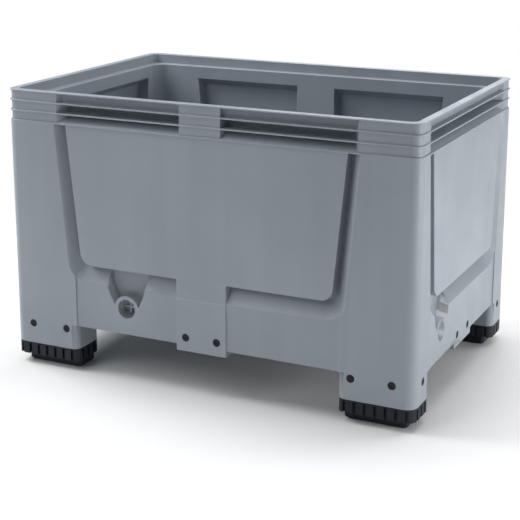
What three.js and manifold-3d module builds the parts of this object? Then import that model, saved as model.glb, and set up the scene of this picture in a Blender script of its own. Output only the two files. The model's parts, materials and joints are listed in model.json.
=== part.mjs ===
// Bulk pallet box: an open moulded bin on four legs, with a ribbed stacking rim and fork entry from
// all sides. Millimetres, +Z up. The origin lies on the ground under the middle of the box, and +X
// runs along the long side.
import * as THREE from "three";
import { mergeVertices } from "three/addons/utils/BufferGeometryUtils.js";
import Module from "manifold-3d";

const wasm = await Module();
wasm.setup();

// Driving dimensions of the moulded body
const boxLength = 1200;
const boxDepth = 800;
const boxHeight = 790;
const outerCornerRadius = 30;
const skin = 5;
const wallBand = 45;
const innerCornerRadius = 40;
const floorTop = 180;
const skirtBottom = 134;
const faceSetback = 3;

// Driving dimensions of the stacking rim
const lipWidth = 22;
const ribPitch = 28;
const ribThickness = 4;
const ribCount = 3;
const rimSetback = 4;
const rimWindowInset = 8;
const rimWindowEndSlope = 0.7;
const rimColumnHalf = 60;

// Driving dimensions of the wall panels and the channel round them
const longPanelMargin = 189;
const shortPanelMargin = 104;
const panelTaper = 39;
const panelBottom = 315;
const panelRadius = 35;
const channelSide = 35;
const channelBelow = 55;
const channelDepth = 34;
const channelFloor = 3;
const panelDraft = 1;
const crestRadius = 60;
const insideColumnHalf = 62;

// Driving dimensions of the legs, the centre blocks and the ribs under the floor
const legLength = 208;
const legDepth = 112;
const legBottom = 62.5;
const legRadius = 20;
const leastLegRadius = 10;
const centreBlockHalf = 74;
const centreBlockDrop = 17;
const deckRibThickness = 4;
const deckCellsAlong = 8;
const deckCellsAcross = 5;

// Driving dimensions of the drains
const drainBore = 54;
const drainBossWall = 10;
const drainShoulder = 5;
const drainPlugDepth = 34;
const drainPlugFlange = 4;
const drainSealThickness = 3;
const drainGripHeight = 7;
const drainGripThickness = 6;
const drainPocketHalf = 60;
const drainPocketLap = 4;
const drainPocketRadius = 100;
const longDrainOffset = -231;
const shortDrainOffset = -192;

// Driving dimensions of the feet and of the pins and plugs
const plinthHeight = 27;
const plinthInnerInset = 9;
const stackClearance = 3.5;
const plinthChamfer = 6;
const finPitch = 28;
const finGap = 8;
const finGapDepth = 7;
const spigotHeight = 76;
const footWall = 4;
const pinHeadDiameter = 22;
const pinHeadThickness = 2;
const pinShaftDiameter = 12;
const pinRecess = 0.5;
const pinHeight = 121;
const longPinInset = 172;
const longPinSpacing = 111;
const shortPinInset = 62;
const longPlugHeight = 155;
const shortPlugHeight = 150;
const plugSpacing = 93;
const clearance = 0.3;

// Number of straight steps in a quarter turn of a rounded corner, and of sides on a round piece
const cornerSteps = 6;
const boreSides = 24;
const pinSides = 12;
const overshoot = 1;

// Heights and widths that follow from the driving dimensions
const halfLength = boxLength / 2;
const halfDepth = boxDepth / 2;
const ledgeTop = boxHeight - ribPitch;
const ledgeBottom = ledgeTop - ribThickness;
const shelfTop = boxHeight - 2 * ribPitch;
const lowestRibTop = boxHeight - ribCount * ribPitch;
const panelTop = lowestRibTop - ribThickness;
const deckUnderside = floorTop - skin;
const crestBottom = panelBottom - channelBelow;
const plinthOuterInset = lipWidth + stackClearance;
const rimSlopeRun = wallBand - skin - faceSetback;
const rimSlope = (shelfTop - ribThickness - lowestRibTop - channelFloor) / rimSlopeRun;
const drainHeight = floorTop + drainBore / 2;
const drainBossRadius = drainBore / 2 + drainBossWall;
const shoulderDepth = drainPlugDepth + drainPlugFlange + drainSealThickness + 2 * clearance;
const centreBlockBottom = skirtBottom - centreBlockDrop;

// Colours and gloss of the two plastics and the seals
const bodyPlastic = { color: 0x8a949b, roughness: 0.5, metalness: 0 };
const footPlastic = { color: 0x23272e, roughness: 0.6, metalness: 0 };
const sealRubber = { color: 0x1b1c1e, roughness: 0.8, metalness: 0 };

// Rounds each corner [x, y, radius] of a polygon that runs anticlockwise.
function rounded(corners) {
  const outline = [];
  corners.forEach(([x, y, radius], i) => {
    const corner = new THREE.Vector2(x, y);
    const before = corners[(i + corners.length - 1) % corners.length];
    const after = corners[(i + 1) % corners.length];
    const toBefore = new THREE.Vector2(before[0] - x, before[1] - y).normalize();
    const toAfter = new THREE.Vector2(after[0] - x, after[1] - y).normalize();
    if (radius <= 0) {
      outline.push(corner);
      return;
    }
    const halfAngle = Math.acos(THREE.MathUtils.clamp(toBefore.dot(toAfter), -1, 1)) / 2;
    const tangent = radius / Math.tan(halfAngle);
    const bisector = toBefore.clone().add(toAfter).normalize();
    const centre = corner.clone().addScaledVector(bisector, radius / Math.sin(halfAngle));
    const start = corner.clone().addScaledVector(toBefore, tangent).sub(centre);
    const turn = Math.sign(toAfter.cross(toBefore)) * (Math.PI - 2 * halfAngle);
    for (let step = 0; step <= cornerSteps; step += 1) {
      const angle = (turn * step) / cornerSteps;
      outline.push(start.clone().rotateAround(new THREE.Vector2(), angle).add(centre));
    }
  });
  return outline;
}

function rectangle(left, right, low, high, radius = 0) {
  return rounded([
    [left, low, radius],
    [right, low, radius],
    [right, high, radius],
    [left, high, radius],
  ]);
}

function planRectangle(inset, radius) {
  const x = halfLength - inset;
  const y = halfDepth - inset;
  return rectangle(-x, x, -y, y, radius);
}

// A solid between two outlines with the same number of points, at two heights along Z.
function loft(lowOutline, low, highOutline, high) {
  const count = lowOutline.length;
  const positions = [
    ...lowOutline.flatMap((p) => [p.x, p.y, low]),
    ...highOutline.flatMap((p) => [p.x, p.y, high]),
  ];
  const faces = [];
  THREE.ShapeUtils.triangulateShape(lowOutline, []).forEach(([a, b, c]) => faces.push(c, b, a));
  THREE.ShapeUtils.triangulateShape(highOutline, []).forEach(([a, b, c]) => {
    faces.push(count + a, count + b, count + c);
  });
  for (let i = 0; i < count; i += 1) {
    const j = (i + 1) % count;
    faces.push(i, j, count + j, i, count + j, count + i);
  }
  const geometry = new THREE.BufferGeometry();
  geometry.setAttribute("position", new THREE.Float32BufferAttribute(positions, 3));
  geometry.setIndex(faces);
  return geometry;
}

function slab(outline, low, high) {
  const options = { depth: high - low, bevelEnabled: false };
  return new THREE.ExtrudeGeometry(new THREE.Shape(outline), options).translate(0, 0, low);
}

function disc(x, y, radius, low, high, sides) {
  const bar = new THREE.CylinderGeometry(radius, radius, high - low, sides);
  return bar.rotateX(Math.PI / 2).translate(x, y, (low + high) / 2);
}

// A closed solid for joining and cutting, from a geometry whose faces point out.
function solidOf(geometry) {
  const bare = geometry.clone();
  bare.deleteAttribute("normal");
  bare.deleteAttribute("uv");
  const merged = mergeVertices(bare, 1e-4);
  const corners = merged.index.array;
  const kept = [];
  for (let i = 0; i < corners.length; i += 3) {
    const [a, b, c] = [corners[i], corners[i + 1], corners[i + 2]];
    if (a !== b && b !== c && c !== a) {
      kept.push(a, b, c);
    }
  }
  const vertProperties = new Float32Array(merged.attributes.position.array);
  const triVerts = new Uint32Array(kept);
  return new wasm.Manifold(new wasm.Mesh({ numProp: 3, vertProperties, triVerts }));
}

function geometryOf(solid) {
  const mesh = solid.getMesh();
  const geometry = new THREE.BufferGeometry();
  geometry.setAttribute("position", new THREE.BufferAttribute(mesh.vertProperties, 3));
  geometry.setIndex(new THREE.BufferAttribute(mesh.triVerts, 1));
  return geometry;
}

function joined(solids) {
  return solids.reduce((sum, solid) => sum.add(solid));
}

// Each wall has its own frame: x along the wall, y up and z out of the box, with the outer face at
// z = reach.
function longWall(turn) {
  return {
    turn,
    reach: halfDepth,
    panelTopHalf: halfLength - longPanelMargin,
    legInner: halfLength - legLength,
    drainOffset: longDrainOffset,
    plugHeight: longPlugHeight,
    pinOffsets: [halfLength - longPinInset, halfLength - longPinInset + longPinSpacing],
    blockDepth: 0,
    split: true,
  };
}

function shortWall(turn) {
  return {
    turn,
    reach: halfLength,
    panelTopHalf: halfDepth - shortPanelMargin,
    legInner: halfDepth - legDepth,
    drainOffset: shortDrainOffset,
    plugHeight: shortPlugHeight,
    pinOffsets: [halfDepth - shortPinInset],
    blockDepth: faceSetback,
    split: false,
  };
}

const wallNames = ["front", "right", "back", "left"];
const walls = [longWall(0), shortWall(1), longWall(2), shortWall(3)];

function wallMatrix(wall) {
  const upright = new THREE.Matrix4().makeRotationX(Math.PI / 2);
  return new THREE.Matrix4().makeRotationZ((wall.turn * Math.PI) / 2).multiply(upright);
}

// A straight cut or block in a wall, between two depths measured inwards from the outer face.
function wallPrism(wall, outline, nearDepth, farDepth) {
  const geometry = slab(outline, wall.reach - farDepth, wall.reach - nearDepth);
  return solidOf(geometry.applyMatrix4(wallMatrix(wall)));
}

// The same with one outline at the near depth and another at the far depth.
function wallTaper(wall, nearOutline, nearDepth, farOutline, farDepth) {
  const geometry = loft(farOutline, wall.reach - farDepth, nearOutline, wall.reach - nearDepth);
  return solidOf(geometry.applyMatrix4(wallMatrix(wall)));
}

function wallDisc(wall, x, y, radius, nearDepth, farDepth, sides = boreSides) {
  const geometry = disc(x, y, radius, wall.reach - farDepth, wall.reach - nearDepth, sides);
  return solidOf(geometry.applyMatrix4(wallMatrix(wall)));
}

// Outline of the wall panel, which narrows downwards, grown by one amount at the sides and another
// below.
function panelOutline(wall, growSide, growBelow, radius, top = panelTop) {
  const low = panelBottom - growBelow;
  const topHalf = wall.panelTopHalf + growSide;
  const lowHalf = topHalf - panelTaper;
  return rounded([
    [-lowHalf, low, radius],
    [lowHalf, low, radius],
    [topHalf, top, 0],
    [-topHalf, top, 0],
  ]);
}

// The panel stands in the channel as a block that gets a little wider towards its root.
function panelBlock(wall) {
  const face = panelOutline(wall, 0, 0, panelRadius);
  const root = panelOutline(wall, panelDraft, panelDraft, panelRadius);
  return wallTaper(wall, face, faceSetback, root, channelDepth + overshoot);
}

// The channel runs down both sides of the panel and under it. On a long wall it stops at a tongue
// in the middle.
function channelCut(wall) {
  const crest = panelOutline(wall, channelSide, channelBelow, crestRadius);
  const deepest = panelOutline(wall, channelFloor, channelFloor, panelRadius);
  const tongueTop = panelBottom + panelRadius;
  const tongue = rectangle(-centreBlockHalf, centreBlockHalf, skirtBottom, tongueTop);
  const middle = wallPrism(wall, tongue, faceSetback, channelDepth + overshoot);
  const mouth = wallPrism(wall, crest, -overshoot, 0);
  const trough = wallTaper(wall, crest, 0, deepest, channelDepth).add(mouth);
  const channel = trough.subtract(panelBlock(wall));
  return wall.split ? channel.subtract(middle) : channel;
}

// The inside of the wall is pushed out behind the panel, so that the wall keeps one skin there.
function insideWindowCuts(wall) {
  const skinRise = skin / Math.cos(Math.atan(rimSlope)) - skin * rimSlope;
  const nearTop = lowestRibTop - skinRise;
  const farTop = nearTop + rimSlopeRun * rimSlope;
  const nearGrow = -skin - channelFloor;
  const inner = panelOutline(wall, -channelFloor, -channelFloor, panelRadius, farTop);
  const outer = panelOutline(wall, nearGrow, nearGrow, panelRadius - skin, nearTop);
  const opening = wallTaper(wall, outer, faceSetback + skin, inner, wallBand);
  if (!wall.split) {
    return opening;
  }
  const column = rectangle(-insideColumnHalf, insideColumnHalf, 0, boxHeight);
  return opening.subtract(wallPrism(wall, column, 0, wallBand + overshoot));
}

// Between the ribs the rim is cut back a little all round, and deeply in the windows of each wall.
function rimWindowCuts(wall) {
  const outerEnd = wall.panelTopHalf + channelSide - rimWindowInset;
  const bands = [
    { low: ledgeTop, high: boxHeight - ribThickness, depth: lipWidth - skin, farLow: ledgeTop },
    { low: shelfTop, high: ledgeBottom, depth: wallBand - skin, farLow: shelfTop },
    {
      low: lowestRibTop,
      high: shelfTop - ribThickness,
      depth: wallBand - skin,
      farLow: shelfTop - ribThickness - channelFloor,
    },
  ];
  const column = rectangle(-rimColumnHalf, rimColumnHalf, 0, boxHeight);
  const cuts = bands.map(({ low, high, depth, farLow }) => {
    const farEnd = outerEnd - (depth - faceSetback) * rimWindowEndSlope;
    const near = rectangle(-outerEnd, outerEnd, low, high);
    const far = rectangle(-farEnd, farEnd, farLow, high);
    return wallTaper(wall, near, faceSetback, far, depth);
  });
  const windows = joined(cuts);
  return wall.split ? windows.subtract(wallPrism(wall, column, 0, wallBand)) : windows;
}

function rimBandCuts() {
  const cuts = [];
  for (let rib = 0; rib < ribCount; rib += 1) {
    const high = boxHeight - rib * ribPitch - ribThickness;
    const low = boxHeight - (rib + 1) * ribPitch;
    const outside = solidOf(slab(planRectangle(-overshoot, outerCornerRadius), low, high));
    const core = planRectangle(rimSetback, outerCornerRadius - rimSetback);
    cuts.push(outside.subtract(solidOf(slab(core, low - overshoot, high + overshoot))));
  }
  return joined(cuts);
}

// Mirrors the corners [x, y, radius] of an outline to one leg, keeping them anticlockwise.
function mirrored(corners, signX, signY) {
  const turned = corners.map(([x, y, radius]) => [x * signX, y * signY, radius]);
  return rounded(signX * signY > 0 ? turned : turned.reverse());
}

// Each leg is a rounded block under one corner. Its outline can be drawn in from its outer sides
// and from its inner sides.
function legOutline(signX, signY, outerInset, innerInset) {
  const outerX = halfLength - outerInset;
  const outerY = halfDepth - outerInset;
  const innerX = halfLength - legLength + innerInset;
  const innerY = halfDepth - legDepth + innerInset;
  const outerRadius = Math.max(outerCornerRadius - outerInset, leastLegRadius);
  const innerRadius = Math.max(legRadius - innerInset, leastLegRadius);
  const corners = [
    [innerX, innerY, innerRadius],
    [outerX, innerY, innerRadius],
    [outerX, outerY, outerRadius],
    [innerX, outerY, innerRadius],
  ];
  return mirrored(corners, signX, signY);
}

const legSigns = [
  { place: "front_left", signX: -1, signY: -1 },
  { place: "front_right", signX: 1, signY: -1 },
  { place: "back_right", signX: 1, signY: 1 },
  { place: "back_left", signX: -1, signY: 1 },
];

function legBlocks() {
  return joined(legSigns.map(({ signX, signY }) => {
    return solidOf(slab(legOutline(signX, signY, 0, 0), legBottom, floorTop));
  }));
}

// Each leg is hollow from below, and the hollow runs on up the corner post as an L between the two
// skins.
function legHollow(signX, signY) {
  const outline = legOutline(signX, signY, skin, skin);
  const postStartX = halfLength - longPanelMargin + channelSide + skin;
  const postStartY = halfDepth - shortPanelMargin + channelSide + skin;
  const innerX = halfLength - wallBand + skin;
  const innerY = halfDepth - wallBand + skin;
  const outerX = halfLength + overshoot;
  const outerY = halfDepth + overshoot;
  const corners = [
    [postStartX, innerY, 0],
    [innerX, innerY, 0],
    [innerX, postStartY, 0],
    [outerX, postStartY, 0],
    [outerX, outerY, 0],
    [postStartX, outerY, 0],
  ];
  const bend = mirrored(corners, signX, signY);
  const inLeg = solidOf(slab(outline, legBottom - overshoot, deckUnderside));
  const inPost = solidOf(slab(outline, deckUnderside - overshoot, panelTop - skin));
  return inLeg.add(inPost.intersect(solidOf(slab(bend, floorTop - wallBand, boxHeight))));
}

// The floor is one plate on a grid of ribs that is open from below.
function deckCells() {
  const spanX = boxLength - 2 * wallBand;
  const spanY = boxDepth - 2 * wallBand;
  const cells = [];
  for (let i = 0; i < deckCellsAlong; i += 1) {
    for (let j = 0; j < deckCellsAcross; j += 1) {
      const left = -spanX / 2 + (i * spanX) / deckCellsAlong + deckRibThickness / 2;
      const low = -spanY / 2 + (j * spanY) / deckCellsAcross + deckRibThickness / 2;
      const right = left + spanX / deckCellsAlong - deckRibThickness;
      const high = low + spanY / deckCellsAcross - deckRibThickness;
      const cell = rectangle(left, right, low, high);
      cells.push(solidOf(slab(cell, skirtBottom - overshoot, deckUnderside)));
    }
  }
  return joined(cells).subtract(legBlocks());
}

// The skirt under each panel is hollow too, and so are the centre block and the column above it.
function skirtHollows(wall) {
  const near = faceSetback + skin;
  const far = wallBand - skin;
  const top = crestBottom - skin;
  const low = skirtBottom - overshoot;
  const left = centreBlockHalf + skin;
  const right = wall.legInner - skin;
  const blockHalf = centreBlockHalf - skin;
  const block = rectangle(-blockHalf, blockHalf, centreBlockBottom - overshoot, deckUnderside);
  const columnHalf = insideColumnHalf - skin;
  const column = rectangle(-columnHalf, columnHalf, deckUnderside - overshoot, panelTop - skin);
  const skirts = [
    wallPrism(wall, rectangle(left, right, low, top), near, far),
    wallPrism(wall, rectangle(-right, -left, low, top), near, far),
    wallPrism(wall, block, wall.blockDepth + skin, far),
  ];
  return joined(wall.split ? [...skirts, wallPrism(wall, column, near, far)] : skirts);
}

// The skirt lies a little behind the legs. On a long wall the centre block stays level with them.
function skirtSkims(wall) {
  const end = wall.legInner;
  const outline = rectangle(-end, end, centreBlockBottom - overshoot, panelBottom);
  const block = rectangle(-centreBlockHalf, centreBlockHalf, 0, boxHeight);
  const skim = wallPrism(wall, outline, -overshoot, faceSetback);
  return wall.split ? skim.subtract(wallPrism(wall, block, -overshoot, faceSetback)) : skim;
}

// Each wall has one drain: a boss at floor height, at the foot of a pocket that narrows down from
// the channel.
function drainPocket(wall, grow) {
  const x = wall.drainOffset;
  const low = drainHeight;
  const lowHalf = drainBossRadius - drainPocketLap + grow;
  const topHalf = drainPocketHalf + grow;
  return rounded([
    [x - lowHalf, low, 0],
    [x + lowHalf, low, 0],
    [x + topHalf, crestBottom, drainPocketRadius],
    [x + topHalf, panelBottom, 0],
    [x - topHalf, panelBottom, 0],
    [x - topHalf, crestBottom, drainPocketRadius],
  ]);
}

function drainShell(wall) {
  const farDepth = wallBand - skin / 2;
  const pocket = wallPrism(wall, drainPocket(wall, skin), faceSetback, farDepth);
  const x = wall.drainOffset;
  return pocket.add(wallDisc(wall, x, drainHeight, drainBossRadius, faceSetback, farDepth));
}

function drainPocketCut(wall) {
  const pocket = wallPrism(wall, drainPocket(wall, 0), 0, channelDepth);
  const boss = wallDisc(wall, wall.drainOffset, drainHeight, drainBossRadius, -overshoot, wallBand);
  return pocket.subtract(boss).subtract(panelBlock(wall));
}

// The bore is wide down to a shoulder that the plug's seal is pressed against.
function drainBoreCut(wall) {
  const x = wall.drainOffset;
  const narrowRadius = drainBore / 2 - drainShoulder;
  const wide = wallDisc(wall, x, drainHeight, drainBore / 2, -overshoot, shoulderDepth);
  const narrow = wallDisc(wall, x, drainHeight, narrowRadius, 0, wallBand + overshoot);
  return wide.add(narrow);
}

// Pins and plugs sit in a counterbore of the outer skin and pass through it.
function fastenerPlaces(wall) {
  const side = wallNames[wall.turn];
  const pins = wall.pinOffsets.flatMap((offset) => [-offset, offset]).map((x, i) => {
    return { x, y: pinHeight, depth: 0, name: `foot_pin_${side}_${i + 1}` };
  });
  const plugs = [-plugSpacing / 2, plugSpacing / 2].map((x, i) => {
    return { x, y: wall.plugHeight, depth: wall.blockDepth, name: `centre_plug_${side}_${i + 1}` };
  });
  return [...pins, ...plugs];
}

function fastenerCuts(wall) {
  const seat = pinRecess + pinHeadThickness + clearance;
  const holeDepth = skin + clearance + footWall + overshoot;
  const headRadius = pinHeadDiameter / 2 + clearance;
  const holeRadius = pinShaftDiameter / 2 + clearance;
  return joined(fastenerPlaces(wall).flatMap(({ x, y, depth }) => [
    wallDisc(wall, x, y, headRadius, -overshoot, depth + seat, pinSides),
    wallDisc(wall, x, y, holeRadius, 0, depth + holeDepth, pinSides),
  ]));
}

function bodySolid() {
  const shell = solidOf(slab(planRectangle(0, outerCornerRadius), skirtBottom, boxHeight));
  const blockTop = skirtBottom + skin;
  const blockOutline = rectangle(-centreBlockHalf, centreBlockHalf, centreBlockBottom, blockTop);
  const blocks = walls.map((wall) => wallPrism(wall, blockOutline, 0, wallBand));
  const bin = solidOf(slab(planRectangle(wallBand, innerCornerRadius), floorTop, boxHeight));
  const mouth = planRectangle(lipWidth, innerCornerRadius - wallBand + lipWidth);
  const lip = solidOf(slab(mouth, ledgeTop, boxHeight + overshoot));
  const legHollows = legSigns.map(({ signX, signY }) => legHollow(signX, signY));
  const hollows = [bin, lip, ...legHollows, deckCells(), ...walls.map(skirtHollows)];
  const hollowed = joined([shell, legBlocks(), ...blocks]).subtract(joined(hollows));
  const withDrains = hollowed.add(joined(walls.map(drainShell)));
  const faceCuts = walls.flatMap((wall) => [
    channelCut(wall),
    insideWindowCuts(wall),
    rimWindowCuts(wall),
    skirtSkims(wall),
    drainPocketCut(wall),
    drainBoreCut(wall),
    fastenerCuts(wall),
  ]);
  return withDrains.subtract(joined([...faceCuts, rimBandCuts()]));
}

// A foot is a cap under the leg: a finned flange, a plinth below it that fits into the rim of
// another box, and a spigot above it.
function footSolid(signX, signY) {
  const flangeTop = legBottom - clearance;
  const flange = solidOf(slab(legOutline(signX, signY, 0, 0), plinthHeight, flangeTop));
  const plinth = legOutline(signX, signY, plinthOuterInset, plinthInnerInset);
  const soleOuterInset = plinthOuterInset + plinthChamfer;
  const sole = legOutline(signX, signY, soleOuterInset, plinthInnerInset + plinthChamfer);
  const plinthBlock = solidOf(slab(plinth, plinthChamfer, plinthHeight + overshoot));
  const soleBlock = solidOf(loft(sole, 0, plinth, plinthChamfer));
  const spigotInset = skin + clearance;
  const spigotTop = flangeTop + spigotHeight;
  const spigotOutline = legOutline(signX, signY, spigotInset, spigotInset);
  const spigot = solidOf(slab(spigotOutline, plinthHeight, spigotTop));
  const wellInset = spigotInset + footWall;
  const well = legOutline(signX, signY, wellInset, wellInset);
  const wellCut = solidOf(slab(well, plinthHeight + footWall, spigotTop + overshoot));
  const deepInset = plinthOuterInset + footWall;
  const deepWell = legOutline(signX, signY, deepInset, plinthInnerInset + footWall);
  const deepCut = solidOf(slab(deepWell, plinthChamfer, plinthHeight + footWall + overshoot));
  const whole = joined([flange, plinthBlock, soleBlock, spigot]);
  const pinHoles = joined(walls.map(fastenerCuts));
  return whole.subtract(joined([wellCut, deepCut, finGaps(signX, signY, flangeTop), pinHoles]));
}

// Gaps between the fins, spaced evenly along all four sides of the flange.
function finGaps(signX, signY, flangeTop) {
  const innerX = halfLength - legLength;
  const innerY = halfDepth - legDepth;
  const countX = Math.floor((legLength - 2 * legRadius) / finPitch);
  const countY = Math.floor((legDepth - 2 * legRadius) / finPitch);
  const gaps = [];
  const addGap = (centreX, centreY, halfX, halfY) => {
    const outline = rectangle(centreX - halfX, centreX + halfX, centreY - halfY, centreY + halfY);
    gaps.push(solidOf(slab(outline, plinthHeight - overshoot, flangeTop - footWall)));
  };
  for (let i = 0; i <= countX; i += 1) {
    const x = innerX + legLength / 2 + (i - countX / 2) * finPitch;
    addGap(signX * x, signY * innerY, finGap / 2, finGapDepth);
    addGap(signX * x, signY * halfDepth, finGap / 2, finGapDepth);
  }
  for (let j = 0; j <= countY; j += 1) {
    const y = innerY + legDepth / 2 + (j - countY / 2) * finPitch;
    addGap(signX * innerX, signY * y, finGapDepth, finGap / 2);
    addGap(signX * halfLength, signY * y, finGapDepth, finGap / 2);
  }
  return joined(gaps);
}

// Turned pieces are drawn along Y, from their inner end on the axis to their outer end on the axis.
function turned(profile, sides) {
  const points = profile.map(([radius, along]) => new THREE.Vector2(radius, along));
  return new THREE.LatheGeometry(points, sides).rotateX(Math.PI / 2);
}

function pinGeometry() {
  const headRadius = pinHeadDiameter / 2;
  const shaftRadius = pinShaftDiameter / 2;
  const length = skin + clearance + footWall;
  const dimpleDepth = pinHeadThickness / 2;
  return turned([
    [0, -length],
    [shaftRadius, -length],
    [shaftRadius, -pinHeadThickness - pinRecess],
    [headRadius, -pinHeadThickness - pinRecess],
    [headRadius, -pinRecess],
    [shaftRadius, -pinRecess],
    [0, -pinRecess - dimpleDepth],
  ], pinSides);
}

function drainPlugGeometry() {
  const flangeRadius = drainBore / 2 - clearance;
  const bodyRadius = drainBore / 2 - drainShoulder - clearance;
  const flangeBack = -drainPlugDepth - drainPlugFlange;
  const turnedBody = turned([
    [0, -wallBand],
    [bodyRadius, -wallBand],
    [bodyRadius, flangeBack],
    [flangeRadius, flangeBack],
    [flangeRadius, -drainPlugDepth],
    [0, -drainPlugDepth],
  ], boreSides);
  const halfGrip = drainGripThickness / 2;
  const reach = bodyRadius - drainShoulder;
  const flatFace = -drainPlugDepth - drainPlugFlange / 2;
  const gripTop = -drainPlugDepth + drainGripHeight;
  const grip = slab(rectangle(-reach, reach, -halfGrip, halfGrip), flatFace, gripTop);
  const crossGrip = slab(rectangle(-halfGrip, halfGrip, -reach, reach), flatFace, gripTop);
  return geometryOf(joined([solidOf(turnedBody), solidOf(grip), solidOf(crossGrip)]));
}

function drainSealGeometry() {
  const outer = drainBore / 2 - clearance;
  const inner = drainBore / 2 - drainShoulder;
  const front = -drainPlugDepth - drainPlugFlange - clearance;
  const back = front - drainSealThickness;
  return turned([
    [inner, back],
    [outer, back],
    [outer, front],
    [inner, front],
    [inner, back],
  ], boreSides);
}

function piece(name, geometry, finish) {
  const mesh = new THREE.Mesh(geometry, new THREE.MeshStandardMaterial(finish));
  mesh.name = name;
  return mesh;
}

function fastenersOf(wall) {
  const group = new THREE.Group();
  group.applyMatrix4(wallMatrix(wall));
  const geometry = pinGeometry();
  fastenerPlaces(wall).forEach(({ x, y, depth, name }) => {
    const mesh = piece(name, geometry, footPlastic);
    mesh.position.set(x, y, wall.reach - depth);
    group.add(mesh);
  });
  return group;
}

function drainFittings(wall) {
  const group = new THREE.Group();
  group.applyMatrix4(wallMatrix(wall));
  const plug = piece(`drain_plug_${wallNames[wall.turn]}`, drainPlugGeometry(), bodyPlastic);
  const seal = piece(`drain_seal_${wallNames[wall.turn]}`, drainSealGeometry(), sealRubber);
  [plug, seal].forEach((mesh) => {
    mesh.position.set(wall.drainOffset, drainHeight, wall.reach);
    group.add(mesh);
  });
  return group;
}

const palletBox = new THREE.Group();
palletBox.add(piece("box_body", geometryOf(bodySolid()), bodyPlastic));
legSigns.forEach(({ place, signX, signY }) => {
  palletBox.add(piece(`foot_${place}`, geometryOf(footSolid(signX, signY)), footPlastic));
});
walls.forEach((wall) => palletBox.add(fastenersOf(wall), drainFittings(wall)));

export default palletBox;
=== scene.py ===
# %% [markdown]
# This lesson dresses a bulk pallet box: one big grey moulding on four black feet.
# The solid model comes first and fixes every size. The cells below only give it rounded edges,
# finer pins and plugs, and the finish of each plastic. Everything is in metres, with +Z up.

# %% Load the solid model
import json
import math

import bmesh
import bpy
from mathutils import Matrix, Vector, geometry

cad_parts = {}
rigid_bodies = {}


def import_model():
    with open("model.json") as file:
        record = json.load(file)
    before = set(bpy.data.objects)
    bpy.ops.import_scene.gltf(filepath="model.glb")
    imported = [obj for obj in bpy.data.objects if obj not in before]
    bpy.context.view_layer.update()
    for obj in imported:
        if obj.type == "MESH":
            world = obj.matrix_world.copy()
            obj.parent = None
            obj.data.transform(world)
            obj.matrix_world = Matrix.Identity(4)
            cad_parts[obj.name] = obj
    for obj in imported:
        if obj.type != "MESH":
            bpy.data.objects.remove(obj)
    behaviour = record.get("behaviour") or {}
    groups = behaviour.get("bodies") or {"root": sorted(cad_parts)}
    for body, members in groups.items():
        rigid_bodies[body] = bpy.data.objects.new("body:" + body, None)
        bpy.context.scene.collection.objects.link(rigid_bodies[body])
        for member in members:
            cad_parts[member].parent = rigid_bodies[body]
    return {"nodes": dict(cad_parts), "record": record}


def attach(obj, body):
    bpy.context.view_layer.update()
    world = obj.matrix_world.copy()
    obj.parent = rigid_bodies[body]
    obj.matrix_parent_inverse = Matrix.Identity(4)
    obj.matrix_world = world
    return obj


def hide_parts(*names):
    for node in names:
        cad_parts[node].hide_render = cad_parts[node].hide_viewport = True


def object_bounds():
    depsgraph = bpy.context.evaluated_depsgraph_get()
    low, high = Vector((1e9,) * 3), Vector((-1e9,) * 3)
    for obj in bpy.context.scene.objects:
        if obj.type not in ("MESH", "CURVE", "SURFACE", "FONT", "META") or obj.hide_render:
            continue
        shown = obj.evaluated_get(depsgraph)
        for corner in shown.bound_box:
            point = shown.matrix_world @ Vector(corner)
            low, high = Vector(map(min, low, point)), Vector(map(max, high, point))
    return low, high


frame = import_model()
cad_low, cad_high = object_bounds()
print("box of the solid model:", [round(v, 4) for v in (*cad_low, *cad_high)])

# %% [markdown]
# The camera stands in front of the right-hand corner and a little above the rim, with a long lens,
# so that the long side and the short side both show and the verticals stay almost parallel.
# A small downward shift keeps the camera closer to level than aiming it at the middle would.

# %% Camera
CAMERA_AZIMUTH = math.radians(25.74)
CAMERA_ELEVATION = math.radians(13.45)
CAMERA_DISTANCE = 3.768
CAMERA_TARGET = Vector((-0.018, 0.0, 0.5004))
FOCAL_PIXELS = 1311.8
PICTURE_PIXELS = 520
SHIFT_PIXELS = -78


def direction(azimuth, elevation):
    """A unit vector from the box: azimuth 0 is the front, 90 degrees is the right side."""
    level = math.cos(elevation)
    return Vector((math.sin(azimuth) * level, -math.cos(azimuth) * level, math.sin(elevation)))


camera_data = bpy.data.cameras.new("camera")
camera = bpy.data.objects.new("camera", camera_data)
bpy.context.scene.collection.objects.link(camera)
towards_camera = direction(CAMERA_AZIMUTH, CAMERA_ELEVATION)
camera.location = CAMERA_TARGET + towards_camera * CAMERA_DISTANCE
camera.rotation_mode = "QUATERNION"
camera.rotation_quaternion = (-towards_camera).to_track_quat("-Z", "Y")
camera_data.lens = FOCAL_PIXELS * camera_data.sensor_width / PICTURE_PIXELS
camera_data.shift_y = SHIFT_PIXELS / PICTURE_PIXELS
bpy.context.scene.camera = camera
print("lens", round(camera_data.lens, 1), "mm")

# %% [markdown]
# Six square area lamps light the box, because a large lamp makes soft shadows. The main lamp is
# high on the left. A low lamp on the right makes the short side bright without reaching into the
# bin, and a low one behind draws a bright line along the lip and the ribs. The other three fill in.

# %% Lamps
LAMP_AIM = Vector((0, 0, 0.4))


def soft_panel(name, azimuth, elevation, distance, size, power):
    """A square area lamp that looks at the middle of the box."""
    data = bpy.data.lights.new(name, "AREA")
    data.shape = "SQUARE"
    data.size = size
    data.energy = power
    lamp = bpy.data.objects.new(name, data)
    lamp.visible_camera = False
    bpy.context.scene.collection.objects.link(lamp)
    back = direction(math.radians(azimuth), math.radians(elevation))
    lamp.location = LAMP_AIM + back * distance
    lamp.rotation_mode = "QUATERNION"
    lamp.rotation_quaternion = (-back).to_track_quat("-Z", "Y")
    return lamp


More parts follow.
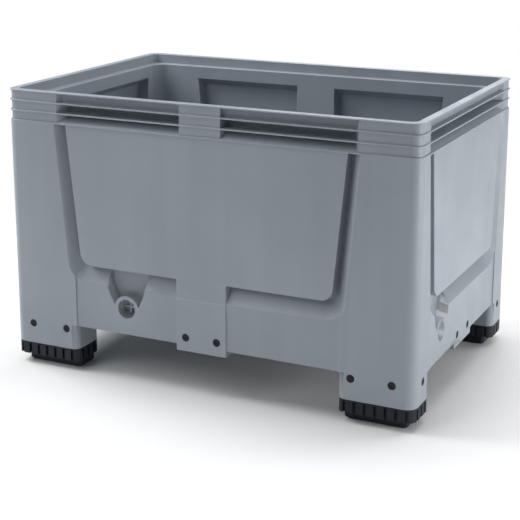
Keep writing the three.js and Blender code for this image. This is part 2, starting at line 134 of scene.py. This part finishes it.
lamps = [
    soft_panel("key_high_left", azimuth=-80, elevation=45, distance=4.2, size=2.5, power=158),
    soft_panel("low_right", azimuth=88, elevation=2, distance=4.0, size=1.6, power=92),
    soft_panel("overhead", azimuth=150, elevation=75, distance=3.8, size=2.6, power=84),
    soft_panel("front_left", azimuth=-30, elevation=36, distance=4.5, size=2.5, power=46),
    soft_panel("right_back", azimuth=130, elevation=30, distance=4.0, size=2.2, power=36),
    soft_panel("low_back", azimuth=190, elevation=20, distance=4.5, size=2.5, power=34),
]
print("lamps:", ", ".join(lamp.name for lamp in lamps))

# %% [markdown]
# The world has two tasks. The camera sees it as a plain white background. Everything else gets a
# little cool light from it, so that no side of the box falls into black.

# %% World
WORLD_LIGHT = (0.93, 0.97, 1.0, 1)
WORLD_STRENGTH = 0.11

world = bpy.data.worlds.new("studio")
bpy.context.scene.world = world
world.use_nodes = True
nodes, links = world.node_tree.nodes, world.node_tree.links
nodes.clear()
rays = nodes.new("ShaderNodeLightPath")
seen = nodes.new("ShaderNodeBackground")
seen.inputs["Color"].default_value = (1, 1, 1, 1)
seen.inputs["Strength"].default_value = 1.0
around = nodes.new("ShaderNodeBackground")
around.inputs["Color"].default_value = WORLD_LIGHT
around.inputs["Strength"].default_value = WORLD_STRENGTH
mix = nodes.new("ShaderNodeMixShader")
out = nodes.new("ShaderNodeOutputWorld")
links.new(rays.outputs["Is Camera Ray"], mix.inputs[0])
links.new(around.outputs[0], mix.inputs[1])
links.new(seen.outputs[0], mix.inputs[2])
links.new(mix.outputs[0], out.inputs[0])
print("light from all round:", WORLD_STRENGTH)

# %% [markdown]
# The floor has to take the soft shadow of the box and still end in a white background. Its paint
# is a plain pale grey near the box. Further out it turns, for the camera only, into plain white.

# %% Floor
FLOOR_HALF = 12.0
FLOOR_GREY = (0.92, 0.92, 0.92, 1)
FLOOR_ROUGHNESS = 0.6
FADE_START = 0.9
FADE_END = 2.2

floor_mesh = bpy.data.meshes.new("floor")
floor_signs = [(-1, -1), (1, -1), (1, 1), (-1, 1)]
floor_corners = [(x * FLOOR_HALF, y * FLOOR_HALF, 0) for x, y in floor_signs]
floor_mesh.from_pydata(floor_corners, [], [(0, 1, 2, 3)])
floor = bpy.data.objects.new("floor", floor_mesh)
bpy.context.scene.collection.objects.link(floor)

floor_paint = bpy.data.materials.new("floor_paint")
floor_paint.use_nodes = True
nodes, links = floor_paint.node_tree.nodes, floor_paint.node_tree.links
matt = nodes["Principled BSDF"]
matt.inputs["Base Color"].default_value = FLOOR_GREY
matt.inputs["Roughness"].default_value = FLOOR_ROUGHNESS
place = nodes.new("ShaderNodeTexCoord")
distance = nodes.new("ShaderNodeVectorMath")
distance.operation = "LENGTH"
fade = nodes.new("ShaderNodeMapRange")
fade.interpolation_type = "SMOOTHSTEP"
fade.inputs["From Min"].default_value = FADE_START
fade.inputs["From Max"].default_value = FADE_END
rays = nodes.new("ShaderNodeLightPath")
far_and_seen = nodes.new("ShaderNodeMath")
far_and_seen.operation = "MULTIPLY"
white = nodes.new("ShaderNodeEmission")
blend = nodes.new("ShaderNodeMixShader")
links.new(place.outputs["Object"], distance.inputs[0])
links.new(distance.outputs["Value"], fade.inputs["Value"])
links.new(fade.outputs[0], far_and_seen.inputs[0])
links.new(rays.outputs["Is Camera Ray"], far_and_seen.inputs[1])
links.new(far_and_seen.outputs[0], blend.inputs[0])
links.new(matt.outputs[0], blend.inputs[1])
links.new(white.outputs[0], blend.inputs[2])
links.new(blend.outputs[0], nodes["Material Output"].inputs["Surface"])
floor_mesh.materials.append(floor_paint)
print("floor:", 2 * FLOOR_HALF, "m square, white from", FADE_END, "m out")

# %% [markdown]
# A material here is a few layers of noise that are mapped to factors near one and multiplied with
# the plastic's colour. The noise is in object space, so it stays on the surface from any side. An
# image would need to be laid out on the mesh first, and noise doesn't.

# %% Noise, ranges and tints
NOISE_LOW, NOISE_HIGH = 0.35, 0.65


def noise(nodes, links, coordinates, scale, detail, stretch=(1, 1, 1)):
    """A noise pattern, drawn out along an axis whose stretch is below one."""
    mapping = nodes.new("ShaderNodeMapping")
    mapping.inputs["Scale"].default_value = stretch
    links.new(coordinates, mapping.inputs["Vector"])
    texture = nodes.new("ShaderNodeTexNoise")
    texture.inputs["Scale"].default_value = scale
    texture.inputs["Detail"].default_value = detail
    links.new(mapping.outputs[0], texture.inputs["Vector"])
    return texture.outputs["Fac"]


def ramp(nodes, links, source, low, high, low_at=NOISE_LOW, high_at=NOISE_HIGH):
    """Maps a pattern to the range from low to high."""
    mapped = nodes.new("ShaderNodeMapRange")
    mapped.inputs["From Min"].default_value = low_at
    mapped.inputs["From Max"].default_value = high_at
    mapped.inputs["To Min"].default_value = low
    mapped.inputs["To Max"].default_value = high
    links.new(source, mapped.inputs["Value"])
    return mapped.outputs[0]


def product(nodes, links, *factors):
    """The factors multiplied with one another."""
    total = factors[0]
    for factor in factors[1:]:
        multiply = nodes.new("ShaderNodeMath")
        multiply.operation = "MULTIPLY"
        links.new(total, multiply.inputs[0])
        links.new(factor, multiply.inputs[1])
        total = multiply.outputs[0]
    return total


def tinted(nodes, links, color, factor):
    """The colour, made lighter or darker by a factor near one."""
    scale = nodes.new("ShaderNodeVectorMath")
    scale.operation = "SCALE"
    scale.inputs[0].default_value = color
    links.new(factor, scale.inputs["Scale"])
    return scale.outputs[0]


print("noise is mapped from", NOISE_LOW, "to", NOISE_HIGH)

# %% [markdown]
# The box is moulded from polyethylene, grey for the body and black for the feet. Up close it has a
# fine grain and faint upright streaks where the melt flowed, and its edges are painted paler as a
# highlight. Bump carries the grain, because it is far finer than the mesh. Pointiness finds the
# edges.

# %% Moulded plastic
CLOUD_SCALE, CLOUD_DETAIL, CLOUD_RANGE = 3.0, 3.0, (0.97, 1.03)
STREAK_SCALE, STREAK_DETAIL, STREAK_STRETCH = 14.0, 5.0, (1, 1, 0.06)
SPECK_SCALE, SPECK_DETAIL, SPECK_RANGE = 900.0, 2.0, (0.985, 1.015)
POINTED_LOW, POINTED_HIGH = 0.51, 0.58
GLOSS_SCALE, GLOSS_DETAIL = 9.0, 4.0
GLOSSIER, DULLER = 0.05, 0.07
GRAIN_DETAIL = 3.0
GRAIN_STRENGTH = 0.25


def moulded_plastic(
    name, color, roughness, grain_scale, grain_height, streaks, edge_highlight, shine=0.5
):
    """Plastic with grain, flow streaks and edges painted paler as a highlight."""
    material = bpy.data.materials.new(name)
    material.use_nodes = True
    nodes, links = material.node_tree.nodes, material.node_tree.links
    shader = nodes["Principled BSDF"]
    shader.inputs["Roughness"].default_value = roughness
    shader.inputs["Specular IOR Level"].default_value = shine
    place = nodes.new("ShaderNodeTexCoord").outputs["Object"]

    clouds = noise(nodes, links, place, CLOUD_SCALE, CLOUD_DETAIL)
    flow = noise(nodes, links, place, STREAK_SCALE, STREAK_DETAIL, STREAK_STRETCH)
    specks = noise(nodes, links, place, SPECK_SCALE, SPECK_DETAIL)
    # Pointiness picks out the edges, and the last factor below paints them paler as a highlight.
    pointed = nodes.new("ShaderNodeNewGeometry").outputs["Pointiness"]
    factor = product(
        nodes,
        links,
        ramp(nodes, links, clouds, *CLOUD_RANGE),
        ramp(nodes, links, flow, 1 - streaks, 1 + streaks),
        ramp(nodes, links, specks, *SPECK_RANGE),
        ramp(nodes, links, pointed, 1.0, 1 + edge_highlight, POINTED_LOW, POINTED_HIGH),
    )
    links.new(tinted(nodes, links, color, factor), shader.inputs["Base Color"])

    worn = noise(nodes, links, place, GLOSS_SCALE, GLOSS_DETAIL)
    gloss = ramp(nodes, links, worn, roughness - GLOSSIER, roughness + DULLER)
    links.new(gloss, shader.inputs["Roughness"])

    bump = nodes.new("ShaderNodeBump")
    bump.inputs["Strength"].default_value = GRAIN_STRENGTH
    bump.inputs["Distance"].default_value = grain_height
    grain = noise(nodes, links, place, grain_scale, GRAIN_DETAIL)
    links.new(grain, bump.inputs["Height"])
    links.new(bump.outputs[0], shader.inputs["Normal"])
    return material


print("scales of clouds, streaks and specks:", CLOUD_SCALE, STREAK_SCALE, SPECK_SCALE)

# %% [markdown]
# The body's grey leans a little to blue. The feet, the pins and the centre plugs are nearly black
# and shine less. The sealing rings in the drains are dull rubber. All three are the same material
# with other numbers.

# %% The three finishes
finishes = {
    # The edge factor of each finish paints its edges paler, a painted highlight, strongest on the
    # black feet.
    "body_plastic": moulded_plastic(
        "body_plastic", color=(0.262, 0.295, 0.331), roughness=0.42,
        grain_scale=700.0, grain_height=0.0006, streaks=0.025, edge_highlight=0.10,
    ),
    "foot_plastic": moulded_plastic(
        "foot_plastic", color=(0.006, 0.009, 0.015), roughness=0.5,
        grain_scale=500.0, grain_height=0.0008, streaks=0.05, edge_highlight=0.6, shine=0.3,
    ),
    "seal_rubber": moulded_plastic(
        "seal_rubber", color=(0.011, 0.012, 0.013), roughness=0.7,
        grain_scale=600.0, grain_height=0.0006, streaks=0.03, edge_highlight=0.2,
    ),
}
print("finishes:", ", ".join(finishes))

# %% [markdown]
# Every edge of a moulding is rounded, because melt doesn't fill a sharp corner and the tool is
# easier to cut that way. The solid model has sharp edges and is cut into triangles, so its flat
# faces are first merged back into whole faces, which a bevel can follow.

# %% Whole faces
MERGE_DISTANCE = 1e-6
FLAT_ANGLE = math.radians(0.6)


def whole_faces(node):
    """A solid's mesh in its place, with the triangles of each flat face merged."""
    source = frame["nodes"][node]
    bm = bmesh.new()
    bm.from_mesh(source.data)
    bm.transform(source.matrix_world)
    bmesh.ops.remove_doubles(bm, verts=bm.verts, dist=MERGE_DISTANCE)
    bmesh.ops.dissolve_limit(bm, angle_limit=FLAT_ANGLE, verts=bm.verts, edges=bm.edges)
    return bm


print("triangles of the body:", len(frame["nodes"]["box_body"].data.polygons))

# %% [markdown]
# A rounding takes up a strip of the face on each side of its edge. Where the face is narrower than
# that, the strips would run over each other and the surface would fold. So the room beside each
# edge is measured first, against the face's other edges and at its two corners.

# %% Room for a rounding
ROOM = 2.3
MITRE_ROOM = 1.3
LEAST_CORNER_ANGLE = 0.01


def gap_between(first, second):
    """The shortest distance between two edges that don't cross, from their four end points."""
    gaps = []
    for ends, line in ((first, second), (second, first)):
        start, end = (vert.co for vert in line.verts)
        for vert in ends.verts:
            along = geometry.intersect_point_line(vert.co, start, end)[1]
            gaps.append((vert.co - start.lerp(end, min(max(along, 0), 1))).length)
    return min(gaps)


def has_room(edge, face, radius):
    """True when the face is wide enough beside the edge for its rounding to end on it."""
    for other in face.edges:
        shared = set(other.verts) & set(edge.verts)
        if other is edge:
            continue
        if not shared:
            if gap_between(edge, other) < ROOM * radius:
                return False
            continue
        corner = shared.pop()
        arms = [line.other_vert(corner).co - corner.co for line in (edge, other)]
        mitre = 1 / math.tan(max(arms[0].angle(arms[1]), LEAST_CORNER_ANGLE) / 2)
        if min(arm.length for arm in arms) < max(ROOM, MITRE_ROOM * mitre) * radius:
            return False
    return True


print("room asked beside an edge:", ROOM, "times its radius")

# %% [markdown]
# Round a drain, the boss, the bore and the pocket above it meet in many short and narrow faces.
# Few of their edges have room, and a rounding that starts and stops looks worse than none, so the
# edges near a drain stay as they are.

# %% Where the drains are
DRAIN_REACH = 0.13


def world_box(node):
    """The lowest and the highest corner of a node's box."""
    corners = [node.matrix_world @ vertex.co for vertex in node.data.vertices]
    low = Vector([min(corner[axis] for corner in corners) for axis in range(3)])
    high = Vector([max(corner[axis] for corner in corners) for axis in range(3)])
    return low, high


drain_centres = []
for side in ("front", "right", "back", "left"):
    low, high = world_box(frame["nodes"]["drain_plug_" + side])
    drain_centres.append((low + high) / 2)


def at_drain(edge):
    """True for an edge whose middle is near a drain plug."""
    middle = (edge.verts[0].co + edge.verts[1].co) / 2
    return min((middle - centre).length for centre in drain_centres) < DRAIN_REACH


print("drains:", len(drain_centres))

# %% [markdown]
# The bevel reads a weight from each edge: one for the whole radius, a half where there is less
# room, and none where the edge stays sharp. Afterwards no point may stand outside the box of the
# solid model, and the normals of the flat faces are made to lead, so that they shade flat.

# %% Rounded edges
SHARP = math.radians(28)
SHARES = (1.0, 0.5)
BEVEL_SEGMENTS = 2
FLAT_FACES_LEAD = 100


def weigh_edges(bm, radius):
    """Gives each sharp edge its share of the radius, and counts those that have no room."""
    weight = bm.edges.layers.float.new("bevel_weight_edge")
    left_sharp = 0
    for edge in bm.edges:
        if len(edge.link_faces) != 2 or edge.calc_face_angle(0) < SHARP or at_drain(edge):
            continue
        for share in SHARES:
            if all(has_room(edge, face, share * radius) for face in edge.link_faces):
                edge[weight] = share
                break
        else:
            left_sharp += 1
    return left_sharp


def rounded_copy(node, name, radius):
    """A copy of a solid's mesh with merged faces and rounded edges."""
    mesh = bpy.data.meshes.new(name)
    bm = whole_faces(node)
    left_sharp = weigh_edges(bm, radius)
    bm.to_mesh(mesh)
    bm.free()
    piece = bpy.data.objects.new(name, mesh)
    bpy.context.scene.collection.objects.link(piece)
    bevel = piece.modifiers.new("rounded_edges", "BEVEL")
    bevel.limit_method = "WEIGHT"
    bevel.width = radius
    bevel.segments = BEVEL_SEGMENTS
    bevel.use_clamp_overlap = False
    view = bpy.context.evaluated_depsgraph_get()
    piece.data = bpy.data.meshes.new_from_object(piece.evaluated_get(view))
    piece.modifiers.clear()
    for vertex in piece.data.vertices:
        limits = zip(vertex.co, cad_low, cad_high)
        vertex.co = [min(max(at, low), high) for at, low, high in limits]
    level = piece.modifiers.new("flat_faces_stay_flat", "WEIGHTED_NORMAL")
    level.weight = FLAT_FACES_LEAD
    level.keep_sharp = True
    print(name, "faces", len(piece.data.polygons), "edges left sharp", left_sharp)
    return piece


# %% [markdown]
# The body is one moulding with the bin, the rim, the posts and the legs. It keeps the shape of its
# solid and gains its rounded edges, which catch the light along the ribs and the panels.

# %% Body
EDGE_RADIUS = 0.0014


def finish_piece(piece, node, slot):
    """Shades a piece, gives it its plastic and puts it in its node's place."""
    for polygon in piece.data.polygons:
        polygon.use_smooth = True
    piece.data.materials.clear()
    piece.data.materials.append(finishes[slot])
    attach(piece, "root")
    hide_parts(node)


body = rounded_copy("box_body", "moulded_body", EDGE_RADIUS)
finish_piece(body, "box_body", "body_plastic")

# %% [markdown]
# The feet are moulded too, but they are small, with thin fins and a plinth below them, so they get
# finer rounded edges than the body.

# %% Feet
FOOT_EDGE_RADIUS = 0.0008

subparts = frame["record"]["subparts"]
for item in subparts:
    name = item["node"]
    if name.startswith("foot_") and not name.startswith("foot_pin"):
        foot = rounded_copy(name, "moulded_" + name, FOOT_EDGE_RADIUS)
        finish_piece(foot, name, item["material_slot"])

# %% [markdown]
# A pin or a plug is a small turned piece: a flat head with a rounded rim, a raised ring and a
# dimple in the middle. Its solid has few sides. So one is turned afresh from a profile, with many
# more sides, and every pin and plug shares that mesh, at one size, in the place of its solid.

# %% A turned pin
PIN_SIDES = 40
PIN_HEAD_RADIUS = 0.011
PIN_SHAFT_RADIUS = 0.006
PIN_LENGTH = 0.0088
PIN_HEAD_THICKNESS = 0.002
PIN_PROFILE = [
    (0.0, -0.0013),
    (0.0040, -0.0012),
    (0.0052, -0.0004),
    (0.0060, 0.0),
    (0.0068, -0.0002),
    (0.0074, -0.0007),
    (0.0092, -0.0007),
    (0.0104, -0.0004),
    (PIN_HEAD_RADIUS, -0.0010),
    (PIN_HEAD_RADIUS, -PIN_HEAD_THICKNESS),
    (PIN_SHAFT_RADIUS, -PIN_HEAD_THICKNESS),
    (PIN_SHAFT_RADIUS, -PIN_LENGTH),
    (0.0, -PIN_LENGTH),
]


def turned_mesh(name, profile, sides):
    """A closed mesh turned about Z from points (radius, height) that start and end on the axis."""
    bm = bmesh.new()
    rings = []
    for radius, height in profile:
        count = sides if radius > 0 else 1
        angles = [2 * math.pi * i / count for i in range(count)]
        points = [(radius * math.cos(a), radius * math.sin(a), height) for a in angles]
        rings.append([bm.verts.new(point) for point in points])
    for upper, lower in zip(rings, rings[1:]):
        for i in range(sides):
            j = (i + 1) % sides
            down = [upper[i % len(upper)], lower[i % len(lower)]]
            up = [lower[j % len(lower)], upper[j % len(upper)]]
            bm.faces.new(list(dict.fromkeys(down + up)))
    bmesh.ops.recalc_face_normals(bm, faces=bm.faces)
    for face in bm.faces:
        face.smooth = True
    mesh = bpy.data.meshes.new(name)
    bm.to_mesh(mesh)
    bm.free()
    return mesh


pin_mesh = turned_mesh("turned_pin", PIN_PROFILE, PIN_SIDES)
pin_mesh.materials.append(finishes["foot_plastic"])
print("faces of a turned pin:", len(pin_mesh.polygons))

# %% [markdown]
# Each pin points out of the wall that it sits in, and the name of its node tells which wall that
# is. The turned mesh has the top of its ring at the origin, so the pin goes to the outermost face
# of its solid's box.

# %% Pins and plugs
OUTWARD = {"front": (0, -1, 0), "right": (1, 0, 0), "back": (0, 1, 0), "left": (-1, 0, 0)}

pin_count = 0
for item in subparts:
    name = item["node"]
    if not name.startswith(("foot_pin", "centre_plug")):
        continue
    outward = Vector(OUTWARD[name.split("_")[2]])
    low, high = world_box(frame["nodes"][name])
    half = Vector([(high - low)[axis] / 2 * abs(outward[axis]) for axis in range(3)]).length
    pin = bpy.data.objects.new("turned_" + name, pin_mesh)
    bpy.context.scene.collection.objects.link(pin)
    pin.location = (low + high) / 2 + outward * half
    pin.rotation_mode = "QUATERNION"
    pin.rotation_quaternion = outward.to_track_quat("Z", "Y")
    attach(pin, "root")
    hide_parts(name)
    pin_count += 1
print("pins and plugs turned:", pin_count)

# %% [markdown]
# The drain plugs sit deep in their bores, each with a rubber sealing ring behind it, where little
# light reaches. Their solids are fine enough, so they stay and only get their materials.

# %% Drain plugs and seals
drain_pieces = [item for item in subparts if item["node"].startswith("drain_")]
for item in drain_pieces:
    node = frame["nodes"][item["node"]]
    node.data.materials.clear()
    node.data.materials.append(finishes[item["material_slot"]])
print("drain plugs and seals:", len(drain_pieces))

# %% [markdown]
# The colours are shown as they are written.

# %% Picture settings
bpy.context.scene.view_settings.view_transform = "Standard"
